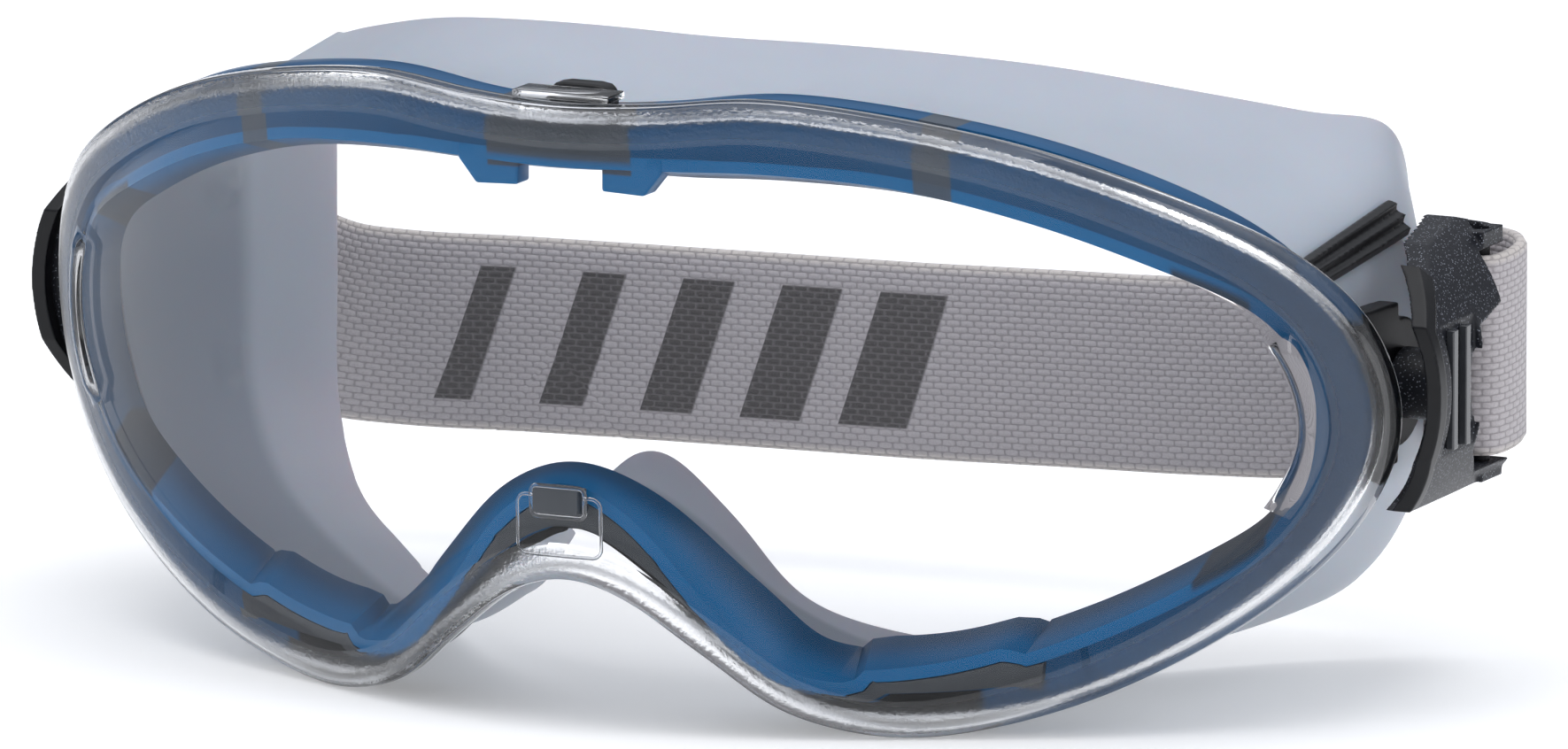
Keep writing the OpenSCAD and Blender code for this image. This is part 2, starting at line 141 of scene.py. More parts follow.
class Finish:
    """One material, with a Principled shader that constants and expressions feed"""
    def __init__(self, name, **constants):
        self.material = bpy.data.materials.new(name)
        self.material.use_nodes = True
        self.tree = self.material.node_tree
        self.shader = self.tree.nodes["Principled BSDF"]
        for socket, value in constants.items():
            self.shader.inputs[socket.replace("_", " ")].default_value = value

    def node(self, kind, settings=None, sockets=None, out=0):
        made = self.tree.nodes.new("ShaderNode" + kind)
        for key, value in (settings or {}).items():
            if key == "stops":
                ramp = made.color_ramp.elements
                while len(ramp) < len(value):
                    ramp.new(0.5)
                for element, (position, colour) in zip(ramp, value):
                    element.position, element.color = position, colour
            else:
                setattr(made, key, value)
        pairs = sockets.items() if isinstance(sockets, dict) else enumerate(sockets or [])
        for key, value in pairs:
            self.wire(value, made.inputs[key])
        return Value(self, made.outputs[out])

    def wire(self, value, socket):
        if isinstance(value, Value):
            self.tree.links.new(value.socket, socket)
        else:
            socket.default_value = value

    def number(self, value):
        return self.node("Math", {"operation": "ADD"}, [value, 0.0])

    def feed(self, name, value):
        self.wire(value, self.shader.inputs[name])
        return self

    def point(self):
        """Where the surface is on its own piece, in millimetres"""
        here = self.node("TexCoord", out="Object")
        return self.node("VectorMath", {"operation": "SCALE"},
                         {0: here, "Scale": 1000.0})

    def split(self, vector):
        made = self.node("SeparateXYZ", None, [vector])
        node = made.socket.node
        return [Value(self, node.outputs[k]) for k in range(3)]

    def carried(self, name):
        """A number that the mesh carries on its points"""
        return self.node("Attribute", {"attribute_name": name}, out="Fac")

    def noise(self, scale, detail=2.0, at=None):
        return self.node("TexNoise", None, {"Vector": at or self.point(), "Scale": scale,
                                            "Detail": detail}, out="Fac")

    def mix(self, factor, a, b):
        return self.node("Mix", {"data_type": "RGBA"}, {0: factor, 6: a, 7: b}, out=2)

    def bump(self, height, millimetres, strength=1.0):
        made = self.node("Bump", None, {"Height": height, "Distance": millimetres * MM,
                                        "Strength": strength}, out="Normal")
        return self.feed("Normal", made)


def rgb(red, green, blue):
    return (red, green, blue, 1.0)


print("sockets ready")

# %% [markdown]
# ## The floor and the light
#
# The goggles stand on a plain pale floor. A soft light from above and both sides
# makes the long highlights along the rim. The sky is white overhead and grey towards
# the horizon, because a clear lens has no colour of its own: all that its edge shows
# is bright and dark parts of the room, bent.

# %% Floor
floor_mesh = bpy.data.meshes.new("floor")
FLOOR_HALF, FLOOR_GAP = 40, 0.02 * MM
floor_mesh.from_pydata([(-FLOOR_HALF, -FLOOR_HALF, 0), (FLOOR_HALF, -FLOOR_HALF, 0),
                        (FLOOR_HALF, FLOOR_HALF, 0), (-FLOOR_HALF, FLOOR_HALF, 0)],
                       [], [(0, 1, 2, 3)])
floor = bpy.data.objects.new("floor", floor_mesh)
bpy.context.scene.collection.objects.link(floor)
floor_finish = Finish("pale_floor", Base_Color=rgb(0.9, 0.9, 0.9), Roughness=0.9,
                      Specular_IOR_Level=0.1, Emission_Color=rgb(1, 1, 1),
                      Emission_Strength=0.22)
floor_mesh.materials.append(floor_finish.material)
floor.location.z = -FLOOR_GAP

# %% Sky and lamps
world = bpy.data.worlds.new("studio")
bpy.context.scene.world = world
world.use_nodes = True
sky = world.node_tree
background = sky.nodes["Background"]
direction = sky.nodes.new("ShaderNodeTexCoord")
height_of = sky.nodes.new("ShaderNodeSeparateXYZ")
ramp = sky.nodes.new("ShaderNodeValToRGB")
sky.links.new(direction.outputs["Generated"], height_of.inputs[0])
sky.links.new(height_of.outputs["Z"], ramp.inputs[0])
ramp.color_ramp.elements[0].position = 0.1
ramp.color_ramp.elements[0].color = (0.10, 0.105, 0.115, 1)
ramp.color_ramp.elements[1].position = 0.8
ramp.color_ramp.elements[1].color = (0.9, 0.93, 1, 1)
sky.links.new(ramp.outputs[0], background.inputs["Color"])
background.inputs["Strength"].default_value = 1.0


def lamp(name, place_m, size, watts):
    data = bpy.data.lights.new(name, "AREA")
    data.shape, data.size, data.size_y, data.energy = "RECTANGLE", size[0], size[1], watts
    made = bpy.data.objects.new(name, data)
    bpy.context.scene.collection.objects.link(made)
    made.location = place_m
    made.rotation_mode = "QUATERNION"
    made.rotation_quaternion = (Vector(place_m) - aim).to_track_quat("Z", "Y")
    made.visible_camera = False
    return made


lamp("top_light", (0.1, -0.2, 1.1), (1.2, 0.8), 5.6)
lamp("left_light", (-1.0, -0.5, 0.55), (0.4, 0.9), 2.6)
lamp("right_light", (1.1, -0.1, 0.5), (0.3, 0.8), 2.4)
bpy.context.scene.view_settings.view_transform = "Standard"

# %% [markdown]
# ## One lens surface, and outlines drawn on it
#
# The lens is bowed round the face and leans a little. One formula gives its front
# surface, and every part near it is drawn as an outline, in X and Z, at some depth
# behind that surface. An outline is half of a loop: it is mirrored, and a smooth
# curve goes through its points. These are the outlines that the CAD model uses, cut
# much finer.

# %% The front surface
LENS_BOW, LENS_FORWARD = 120.0, 2.5
LEAN_MID, LEAN_SIDE, LEAN_REACH, LEAN_TOP = 0.05, 0.11, 50.0, 42.0


def ease(t):
    u = min(max(t, 0.0), 1.0)
    return u * u * (3 - 2 * u)


def front_y(x, z):
    lean = LEAN_MID + LEAN_SIDE * ease(abs(x) / LEAN_REACH)
    bow = LENS_BOW - math.sqrt(LENS_BOW ** 2 - x * x)
    return bow - LENS_FORWARD + lean * (LEAN_TOP - z)


def on_front(p, depth):
    return Vector((p[0], front_y(p[0], p[1]) + depth, p[1]))


# %% Outlines
LENS_EDGE = [
    (0, 41.8, 0), (12, 42.4, 0), (26, 43.7, 0), (42, 41.7, 0), (57, 37.7, 0),
    (71, 31.1, 0), (82, 23.3, 0), (88.6, 13, 0), (90.2, 0, 0), (85.3, -12.3, 0),
    (75, -22.7, 0), (59, -31.8, 0), (41, -36.4, 1.8), (27, -33.7, 0.4), (17, -26.2, 0),
    (8, -19.6, 1.6), (0, -17.3, 3.6)]
FRAME_EDGE = [
    (0, 40.6, 12.5), (12, 41.8, 10.5), (26, 43.5, 10), (42, 41.7, 10), (57, 37.7, 10),
    (70.5, 31, 10), (79.5, 23.2, 10), (84.6, 13, 10), (85.6, 1, 10), (81.5, -11.3, 10),
    (72, -21.8, 10), (58, -30.4, 10), (41, -33.4, 10), (27.5, -32, 9), (18, -25.4, 8),
    (9, -16.6, 7), (0, -11.6, 6.5)]
EYE_EDGE = [
    (0, 34.2, 2), (13, 34.4, 2), (26, 34.6, 2), (41, 33.2, 2), (56, 28.8, 2),
    (69, 22.6, 2), (78, 16.6, 2), (82.2, 8.5, 2.2), (82, -2, 2.4), (78, -11, 2.6),
    (70, -17.2, 2.8), (57, -23.8, 2.8), (42, -28.6, 2.8), (27.5, -28.6, 3.6),
    (18.2, -20.8, 4.4), (9.2, -9.8, 3), (0, -5.2, 2)]
SEAL_SHOULDER = [
    (0, 38.8, 30), (14, 39.2, 30.5), (28, 39.4, 33), (42, 37.6, 39), (55, 34.4, 48),
    (68, 30, 60), (77.5, 25.5, 71), (80.5, 13, 76.5), (80.5, 0, 77), (79.5, -13, 76),
    (72.5, -24, 71), (58, -31, 61), (41, -34, 47), (27, -30.5, 35), (16.5, -23.5, 27),
    (9, -14.5, 22), (0, -9.5, 20)]
SEAL_LIP = [
    (0, 43, 45), (14, 43, 46.2), (28, 42.2, 50), (42, 40.4, 56.3), (55, 37, 66),
    (65.5, 33.4, 77), (72.2, 30, 87.5), (73.6, 17, 90), (73.6, 0, 90.2), (73.2, -15, 89.5),
    (68.5, -26.5, 85.5), (57.5, -31.5, 76), (42, -33, 58), (29, -29.8, 43),
    (17.5, -24.6, 34), (9, -13.4, 29.5), (0, -6.2, 28)]
STEPS = 12
SMOOTHING = 5


def between(a, b, c, d, t):
    """The point at t between b and c, on a smooth curve through a, b, c and d"""
    return (2 * b + (c - a) * t + (2 * a - 5 * b + 4 * c - d) * t * t
            + (3 * b - a - 3 * c + d) * t ** 3) * 0.5


def vector(p):
    return Vector(p) if len(p) == 3 else Vector((*p, 0))


def closed_curve(half, steps=STEPS):
    left = [(-p[0], *p[1:]) for p in half[-2:0:-1]]
    c = [vector(p) for p in half + left]
    m = len(c)
    points = [between(c[i - 1], c[i], c[(i + 1) % m], c[(i + 2) % m], j / steps)
              for i in range(m) for j in range(steps)]
    for _ in range(SMOOTHING):
        n = len(points)
        points = [(points[i - 1] + 2 * points[i] + points[(i + 1) % n]) / 4
                  for i in range(n)]
    return points


def open_curve(control, steps):
    c = [Vector(p) for p in control]
    last = len(c) - 1
    points = [between(c[max(i - 1, 0)], c[i], c[i + 1], c[min(i + 2, last)], j / steps)
              for i in range(last) for j in range(steps)]
    return points + [c[last]]


def inset(c, by):
    """An outline moved inwards, by one distance or by one for each point"""
    n = len(c)
    moved = []
    for i, p in enumerate(c):
        run = c[(i + 1) % n] - c[i - 1]
        length = math.hypot(run.x, run.y)
        d = by[i] if isinstance(by, list) else by
        moved.append(Vector((p.x + run.y / length * d, p.y - run.x / length * d, p.z)))
    return moved


lens_edge, frame_edge, eye_edge, seal_shoulder, seal_lip = (
    closed_curve(c) for c in (LENS_EDGE, FRAME_EDGE, EYE_EDGE, SEAL_SHOULDER, SEAL_LIP))
AROUND = len(lens_edge)
print("points round each outline:", AROUND)

# %% [markdown]
# ## Meshes from rings
#
# Most pieces are skins stretched over rings or over cross sections. `skin` takes rows
# of points, joins each row to the next with quads, closes the loops where it is told
# to, and smooths the shading. It can also store numbers on the points, which the
# finishes read later, such as how far a point is from the edge of the lens.

# %% Skins over rows of points
def add_piece(name, mesh, finish):
    made = bpy.data.objects.new(name, mesh)
    bpy.context.scene.collection.objects.link(made)
    mesh.materials.append(finish.material)
    return made


def skin(name, rows, finish, close_rows=True, close_ends=False, caps=False, carried=None):
    """close_rows joins the last point of a row to its first, close_ends the last row
    to the first row, and caps closes the first and last row with a face."""
    n, m = len(rows), len(rows[0])
    vertices = [place(p) for row in rows for p in row]
    faces = []
    for i in range(n if close_ends else n - 1):
        a, b = i * m, ((i + 1) % n) * m
        for k in range(m if close_rows else m - 1):
            j = (k + 1) % m
            faces.append((a + k, a + j, b + j, b + k))
    if caps:
        faces += [tuple(reversed(range(m))), tuple(range((n - 1) * m, n * m))]
    mesh = bpy.data.meshes.new(name)
    mesh.from_pydata(vertices, [], faces)
    shape = bmesh.new()
    shape.from_mesh(mesh)
    bmesh.ops.recalc_face_normals(shape, faces=shape.faces)
    shape.to_mesh(mesh)
    shape.free()
    mesh.shade_smooth()
    for key, values in (carried or {}).items():
        mesh.attributes.new(key, "FLOAT", "POINT").data.foreach_set("value", values)
    return add_piece(name, mesh, finish)


def settle(piece, body, slot, *nodes):
    """Every new piece rides on a body and stands for its CAD nodes, which are hidden; the name of
    its finish, slot, is not used
    """
    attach(piece, body)
    if nodes:
        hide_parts(*nodes)
    print(piece.name, "has", len(piece.data.vertices), "points, on", body)
    return piece


def soften(piece, width, segments=3, angle=35):
    """Rounds the hard edges, as a mould does"""
    edges = piece.modifiers.new("rounded_edges", "BEVEL")
    edges.width, edges.segments = width * MM, segments
    edges.limit_method, edges.angle_limit = "ANGLE", math.radians(angle)
    edges.harden_normals = False
    return piece


# %% [markdown]
# ## The lens
#
# The lens is 2.2 mm of clear polycarbonate. Its rim turns back in a rounded shoulder,
# which is moulded with a fine grain so that the edge doesn't show scratches, and a
# raised rib stands at each temple. It is built as rings that shrink towards the
# middle: first down the front, then round the rim, then up the back. A solid with
# real thickness bends light at both faces, which makes the bright and dark lines at
# the edge.

# %% Lens profile
LENS_T, RIM_DEPTH, RIM_WALL = 2.2, 5.0, 2.2
SHOULDER = 4.8
SHOULDER_DROP = 2.1
STEP_IN, STEP_DROP = 6.9, 0.16
RIB_IN, RIB_HALF, RIB_HEIGHT, RIB_MARGIN = 6.6, 1.2, 1.7, 0.3
WINDOW_FROM = 4.9
PLATE_IN = 9.0
LENS_MIDDLE = Vector((0, 12, 0))


def shoulder_depth(a):
    """How far the rounded shoulder falls back, a millimetres in from the edge"""
    u = max(0.0, 1 - a / SHOULDER)
    return (SHOULDER_DROP * (1 - math.sqrt(max(0.0, 1 - u * u)))
            + STEP_DROP * ease((a - STEP_IN) / 0.25))


def rib_window(p):
    """1 beside a temple, fading out above and below"""
    side = ease((abs(p.x) - 79) / 4)
    return side * ease((17.5 - p.y) / 3) * ease((p.y + 12) / 4)


def rib_height(p, a):
    across = max(0.0, 1 - ((a - RIB_IN) / RIB_HALF) ** 2)
    return RIB_HEIGHT * math.sqrt(across) * rib_window(p)


def front_ring(a):
    ring = inset(lens_edge, a)
    return [on_front(p, shoulder_depth(a) - rib_height(edge, a))
            for p, edge in zip(ring, lens_edge)]


def plate_ring(share, depth):
    plate = inset(lens_edge, PLATE_IN)
    return [on_front(LENS_MIDDLE + (p - LENS_MIDDLE) * share, depth) for p in plate]


# %% Lens finishes
SHARES = [1 - k / 14 for k in range(1, 14)] + [0.03]
CLEAR_TINT = rgb(0.985, 0.99, 1.0)
COATED_IOR, PLASTIC_IOR = 1.18, 1.5
coated = Finish("coated_window", Base_Color=CLEAR_TINT, IOR=COATED_IOR,
                Transmission_Weight=1.0)
coated.feed("Roughness", coated.noise(0.02) * 0.015)
clear = Finish("clear_polycarbonate", Base_Color=CLEAR_TINT, IOR=PLASTIC_IOR,
               Transmission_Weight=1.0)
grain_zone = (clear.carried("edge_mm").above(0.6, 0.4)
              * (1 - clear.carried("edge_mm").above(4.4, 0.3)))
clear.feed("Roughness", grain_zone * 0.28 + 0.02)
grain = clear.noise(1.7, 3.0) * grain_zone
clear.bump(grain, 0.16, 0.8)

# %% Lens mesh
insets = [PLATE_IN - k * 0.25 for k in range(int(PLATE_IN / 0.25))] + [0.12, 0.0]
lens_rows = [plate_ring(s, STEP_DROP) for s in reversed(SHARES)] + [front_ring(a) for a in insets]
edge_mm = [PLATE_IN + 1] * len(SHARES) + insets
for depth in (2.6, 3.2, 4.0, RIM_DEPTH - 0.4):
    lens_rows.append([on_front(p, depth) for p in lens_edge])
    edge_mm.append(0.0)
for a, depth in ((0.12, RIM_DEPTH - 0.1), (0.4, RIM_DEPTH), (RIM_WALL - 0.4, RIM_DEPTH),
                 (RIM_WALL - 0.1, RIM_DEPTH - 0.15), (RIM_WALL, RIM_DEPTH - 0.5),
                 (RIM_WALL, 3.4), (RIM_WALL + 0.15, 2.7), (RIM_WALL + 0.6, LENS_T + 0.1),
                 (RIM_WALL + 1.2, LENS_T), (5.5, LENS_T), (PLATE_IN, LENS_T)):
    lens_rows.append([on_front(p, depth) for p in inset(lens_edge, a)])
    edge_mm.append(PLATE_IN + 1 if a > RIM_WALL else 0.0)
lens_rows += [plate_ring(s, LENS_T) for s in SHARES]
edge_mm += [PLATE_IN + 1] * len(SHARES)
lens = skin("lens_shell", lens_rows, clear, caps=True,
            carried={"edge_mm": [e for e in edge_mm for _ in range(AROUND)]})
lens.data.materials.append(coated.material)


def in_window(face):
    """The window starts inside the shoulder, except on the rib at a temple"""
    deep = min(edge_mm[v // AROUND] for v in face.vertices)
    near_rib = rib_window(lens_edge[face.vertices[0] % AROUND]) > 0.02
    on_rib = near_rib and abs(deep - RIB_IN) < RIB_HALF + RIB_MARGIN
    return deep > WINDOW_FROM and not on_rib


lens.data.polygons.foreach_set("material_index", [int(in_window(f)) for f in lens.data.polygons])
settle(lens, "lens", "clear_lens", "lens")

# %% [markdown]
# ## The frame and its soft inlay
#
# The frame is a ring of tinted hard plastic behind the lens. Its face is set back
# where a dark soft inlay is moulded into it, along the bottom and over the nose, and
# a narrow lip stays bare round the eye opening, painted a lighter blue as a painted
# highlight. Its inner and back walls carry painted shade, and its blue is painted
# darker towards the temples. The section has the same eight corners all round, and
# a bevel rounds them.

# %% Frame finish
FLOOR_UP = -LENS_LOW
tint = Finish("tinted_blue", Roughness=0.28, Specular_IOR_Level=0.2)
side, _, height = tint.split(tint.point())
side, height = side.absolute(), height - FLOOR_UP
lip_highlight = 1 - tint.carried("lip").above(0.5, 0.4)
wall = tint.carried("wall").above(0.5, 0.3)
under = tint.carried("under").above(0.5, 0.3)
shade = tint.mix(tint.noise(0.08), rgb(0.001, 0.056, 0.150), rgb(0.002, 0.084, 0.215))
# painted shade: the inner and back walls of the frame are painted a darker blue
shade = tint.mix(wall * 0.5, shade, rgb(0.001, 0.050, 0.125))
# painted highlight: the bare lip round the eye opening is painted a lighter blue
shade = tint.mix(lip_highlight * 0.75, shade, rgb(0.004, 0.17, 0.42))
rib_marks = side.within(43.2, 47.4, 0.15) * height.above(25, 1)
shade = tint.mix(rib_marks * 0.85, shade, rgb(0.075, 0.085, 0.095))
catch_patch = (1 - side.above(9.6, 0.2)) * height.above(33.6, 0.2) * (1 - wall)
shade = tint.mix(catch_patch * 0.9, shade, rgb(0.06, 0.065, 0.07))
# painted shade: the blue is painted darker towards the temples, behind the lens rim
shade = tint.mix(side.above(74, 8) * 0.6, shade, rgb(0.001, 0.026, 0.075))
temple_marks = side.within(70, 77.5, 0.3) * wall * height.absolute().above(9, 0.5)
shade = tint.mix(temple_marks * 0.85, shade, rgb(0.02, 0.026, 0.035))
dark_sole = under * (1 - height.above(-9, 1)) * (1 - side.above(46, 0.5))
tint.feed("Base Color", tint.mix(dark_sole, shade, rgb(0.006, 0.0065, 0.008)))
tint.bump(tint.noise(1.4, 3.0), 0.03, 0.4)

soft_dark = Finish("soft_dark_grey", Roughness=0.5, Coat_Weight=0.1, Coat_Roughness=0.4)
soft_dark.feed("Base Color", soft_dark.mix(soft_dark.noise(0.25), rgb(0.035, 0.041, 0.05),
                                           rgb(0.055, 0.062, 0.072)))
soft_dark.bump(soft_dark.noise(3.0), 0.03, 0.5)

# %% Frame mesh
SEAT_GAP, LIP_W, INLAY_T = 0.4, 1.6, 1.0
INLAY_FROM, INLAY_TO = 33 * STEPS // 3, 63 * STEPS // 3
TAB_UP, SOLE_DEPTH = 1.6, 4.5


def stretch(value, low, high, soft):
    """1 between low and high, and 0 outside, over soft steps"""
    return ease((value - low) / soft + 0.5) * ease((high - value) / soft + 0.5)


def cheek(p, low, high, soft):
    """1 along a stretch of the lower edge on both sides, and 0 elsewhere"""
    return stretch(abs(p.x), low, high, soft) if p.y < -10 else 0.0


eye_edge = inset(eye_edge, [TAB_UP * cheek(p, 33.5, 51, 1.5) for p in eye_edge])
for p, q in zip(eye_edge, closed_curve(EYE_EDGE)):
    p.z = q.z
seat = inset(lens_edge, [RIM_WALL + SEAT_GAP + 0.2 + max(0, p.z) + cheek(p, 35, 53, 1.5)
                         for p in lens_edge])
lip = inset(eye_edge, -LIP_W)
rear = inset(eye_edge, [p.z for p in eye_edge])
plate_back, rim_back = LENS_T + SEAT_GAP, RIM_DEPTH + SEAT_GAP
frame_rows = []
for i in range(AROUND):
    face = plate_back + (INLAY_T + 0.05 if INLAY_FROM <= i <= INLAY_TO else 0.02)
    back = frame_edge[i].z
    sole = back + SOLE_DEPTH * cheek(frame_edge[i], 12, 31, 8)
    frame_rows.append([
        on_front(seat[i], face), on_front(seat[i], rim_back),
        on_front(frame_edge[i], rim_back), on_front(frame_edge[i], sole),
        on_front(rear[i], back), on_front(eye_edge[i], plate_back),
        on_front(lip[i], plate_back), on_front(lip[i], face)])
frame_ring = skin("frame_ring", frame_rows, tint, close_ends=True,
                  carried={"lip": [1.0, 1.0, 1.0, 1.0, 1.0, 0.0, 0.0, 1.0] * AROUND,
                           "wall": [0.0, 0.0, 0.0, 0.0, 1.0, 1.0, 0.0, 0.0] * AROUND,
                           "under": [0.0, 1.0, 1.0, 1.0, 0.0, 0.0, 0.0, 0.0] * AROUND})
settle(soften(frame_ring, 0.3), "goggles", "blue_frame", "frame")

inlay_rows = []
front = plate_back + 0.05
inlay_outer, inlay_inner = inset(seat, 0.2), inset(eye_edge, -LIP_W - 0.15)
for i in range(INLAY_FROM + 3, INLAY_TO - 2):
    a, b = inlay_outer[i], inlay_inner[i]
    inlay_rows.append([on_front(a, front), on_front(a, front + INLAY_T - 0.1),
                       on_front(b, front + INLAY_T - 0.1), on_front(b, front)])
inlay = skin("soft_inlay", inlay_rows, soft_dark, caps=True)
settle(soften(inlay, 0.25), "goggles", "grey_soft_inlay", "frame_inlay")


# %% Teeth above the bridge, and the clear parts of the lens that meet the catches
def block(name, outline, y_from, y_to, finish, width, segments=3):
    """An outline in X and Z, given a thickness along Y, with rounded edges"""
    rows = [[(x, y, z) for x, z in outline] for y in (y_from, y_to)]
    return soften(skin(name, rows, finish, caps=True), width, segments)


for side_name, sign in (("left", 1), ("right", -1)):
    tooth = [(sign * x, z) for x, z in ((5.6, 36), (5.6, 31.4), (11.2, 31.2),
                                        (13.6, 34.2), (13.6, 36))]
    settle(block(f"bridge_tooth_{side_name}", tooth, 1.1, 4.6, tint, 0.35),
           "goggles", "blue_frame")

tab = [(-6.5, 42.1), (6.5, 42.1), (6.5, 43.1), (-6.5, 43.1)]
settle(block("lens_tab", tab, 1.0, 5.6, clear, 0.2), "lens", "clear_lens")


def bead(name, corners, radius, depth, thick, finish):
    """A fine raised line round a rounded rectangle on the front of the lens"""
    x_half, low, high = corners
    path = []
    for cx, cz, start in ((x_half, high, 0), (-x_half, high, 90), (-x_half, low, 180),
                          (x_half, low, 270)):
        for k in range(6):
            turn = math.radians(start + 18 * k)
            mid_x, mid_z = cx - math.copysign(radius, cx), cz - (
                radius if cz == high else -radius)
            path.append((mid_x + radius * math.cos(turn), mid_z + radius * math.sin(turn)))
    rows = []
    for i, p in enumerate(path):
        run = Vector(path[(i + 1) % len(path)]) - Vector(path[i - 1])
        out = Vector((run.y, -run.x)).normalized()
        rows.append([on_front((p[0] + out.x * thick * math.cos(t),
                               p[1] + out.y * thick * math.cos(t)),
                              depth - thick * math.sin(t))
                     for t in (math.radians(45 * k) for k in range(8))])
    return skin(name, rows, finish, close_ends=True)


settle(bead("nose_slot_rim", (3.6, -9.2, -5.4), 0.8, STEP_DROP, 0.3, clear),
       "lens", "clear_lens")
settle(bead("nose_slot_step", (5.6, -14.0, -6.6), 1.2, STEP_DROP, 0.22, clear),
       "lens", "clear_lens")

# %% [markdown]
# ## The face seal
#
# The seal is one soft moulding: a skirt that leaves the frame, turns at a rounded
# shoulder and ends in a thin lip that follows the forehead, temples and cheeks. Each
# cross section is a smooth curve through three points, thickened along its normal
# and tapered towards the lip.

# %% Seal finish
elastomer = Finish("grey_elastomer", Roughness=0.42, Subsurface_Weight=0.35,
                   Subsurface_Scale=0.004, Coat_Weight=0.08, Coat_Roughness=0.3)
skin_grey = elastomer.mix(elastomer.noise(0.05), rgb(0.34, 0.385, 0.45),
                          rgb(0.40, 0.44, 0.50))
# painted shade: the inside of the seal, from the frame to halfway along, is painted a darker
# blue-grey
inner_seal_shade = elastomer.carried("inside") * (1 - elastomer.carried("along").above(0.5, 0.06))
elastomer.feed("Base Color", elastomer.mix(inner_seal_shade * 0.6, skin_grey, rgb(0.12, 0.15, 0.20)))
elastomer.bump(elastomer.noise(2.5, 3.0), 0.02, 0.4)

# %% Seal mesh
SEAL_INSET, SEAL_WALL, LIP_WALL = 2.4, 1.8, 0.9
SEAL_CUTS = 18
PAD_HEIGHT = 0.9
root = inset(frame_edge, SEAL_INSET)


def seal_path(i):
    """Outer face of one section, from the frame to the lip"""
    a = on_front(root[i], frame_edge[i].z + 0.1)
    b = Vector((seal_shoulder[i].x, seal_shoulder[i].z, seal_shoulder[i].y))
    c = Vector((seal_lip[i].x, seal_lip[i].z, seal_lip[i].y))
    path = [between(2 * a - b, a, b, c, k / SEAL_CUTS) for k in range(SEAL_CUTS)]
    return path + [between(a, b, c, 2 * c - b, k / SEAL_CUTS) for k in range(SEAL_CUTS + 1)]


def pad(p, share):
    """Two low pads are moulded on the inside of each temple"""
    tall = stretch(p.z, 12.5, 16, 0.8) + stretch(p.z, -11.5, -5.5, 0.8)
    return PAD_HEIGHT * tall * stretch(share, 0.36, 0.46, 0.03) * ease((abs(p.x) - 74) / 2)


outer = [seal_path(i) for i in range(AROUND)]
last = len(outer[0]) - 1
seal_rows = []
for i in range(AROUND):
    inner = []
    for k, p in enumerate(outer[i]):
        along = outer[i][min(k + 1, last)] - outer[i][max(k - 1, 0)]
        sideways = outer[(i + 1) % AROUND][k] - outer[i - 1][k]
        normal = along.cross(sideways).normalized()
        share = k / last
        wall_here = SEAL_WALL + (LIP_WALL - SEAL_WALL) * share ** 2
        inner.append(p + normal * (wall_here + pad(p, share)))
    seal_rows.append(outer[i] + inner[::-1])
middle = sum((p for p in (row[0] for row in seal_rows)), Vector()) / AROUND
inwards = (middle - seal_rows[0][0]).dot(seal_rows[0][-1] - seal_rows[0][0])
print("the seal's wall is thickened", "inwards" if inwards > 0 else "outwards")
shares = [k / last for k in range(last + 1)]
seal = skin("face_seal_skin", seal_rows, elastomer, close_ends=True,
            carried={"along": (shares + shares[::-1]) * AROUND,
                     "inside": ([0.0] * (last + 1) + [1.0] * (last + 1)) * AROUND})
settle(soften(seal, 0.3, 2, 50), "goggles", "grey_seal", "face_seal")

# %% [markdown]
# ## Moulded parts with round edges
#
# Clips, catches, brackets and the adjuster are hard mouldings. Their CAD solids have
# the right shape but knife edges. A copy of each is remeshed finely and relaxed a
# little, which rounds every edge by the same small radius, as a real mould does.

# %% Plastics and metal
black_plastic = Finish("black_plastic", Roughness=0.42, Specular_IOR_Level=0.2)
black_plastic.feed("Base Color", black_plastic.mix(black_plastic.noise(0.6),
                                                   rgb(0.006, 0.006, 0.007),
                                                   rgb(0.012, 0.0125, 0.014)))
black_plastic.bump(black_plastic.noise(4.0), 0.03, 0.5)

black_soft = Finish("black_soft", Roughness=0.32, Specular_IOR_Level=0.25)
black_soft.feed("Base Color", black_soft.mix(black_soft.noise(0.4), rgb(0.004, 0.004, 0.005),
                                             rgb(0.009, 0.0095, 0.011)))
black_soft.bump(black_soft.noise(5.0), 0.02, 0.4)

speckled = Finish("speckled_charcoal", Specular_IOR_Level=0.25)
flecks = speckled.node("TexVoronoi", None, {"Vector": speckled.point(), "Scale": 2.6})
fleck = 1 - flecks.above(0.2, 0.1)
speckled.feed("Base Color", speckled.mix(fleck * 0.8, rgb(0.010, 0.011, 0.015),
                                         rgb(0.30, 0.32, 0.37)))
speckled.feed("Roughness", 0.42 - fleck * 0.15)
speckled.bump(speckled.noise(3.2, 3.0), 0.08, 0.6)

gloss_rib = Finish("glossy_rib", Roughness=0.16, Coat_Weight=0.3)
gloss_rib.feed("Base Color", gloss_rib.mix(gloss_rib.noise(0.5), rgb(0.03, 0.032, 0.036),
                                           rgb(0.05, 0.054, 0.06)))
steel = Finish("pin_steel", Metallic=1.0)
steel.feed("Base Color", steel.mix(steel.noise(1.0), rgb(0.5, 0.5, 0.52), rgb(0.62, 0.62, 0.64)))
steel.feed("Roughness", 0.25 + steel.noise(2.0) * 0.2)


# %% Rounded copies
def moulded(name, node, finish, body, slot, voxel=0.25, relax=3):
    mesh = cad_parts[node].data.copy()
    mesh.name = name
    mesh.materials.clear()
    made = add_piece(name, mesh, finish)
    again = made.modifiers.new("remesh", "REMESH")
    again.mode, again.voxel_size = "VOXEL", voxel * MM
    even = made.modifiers.new("relax", "SMOOTH")
    even.factor, even.iterations = 0.5, relax
    baked = bpy.data.meshes.new_from_object(
        made.evaluated_get(bpy.context.evaluated_depsgraph_get()))
    made.modifiers.clear()
    made.data = baked
    baked.shade_smooth()
    return settle(made, body, slot, node)


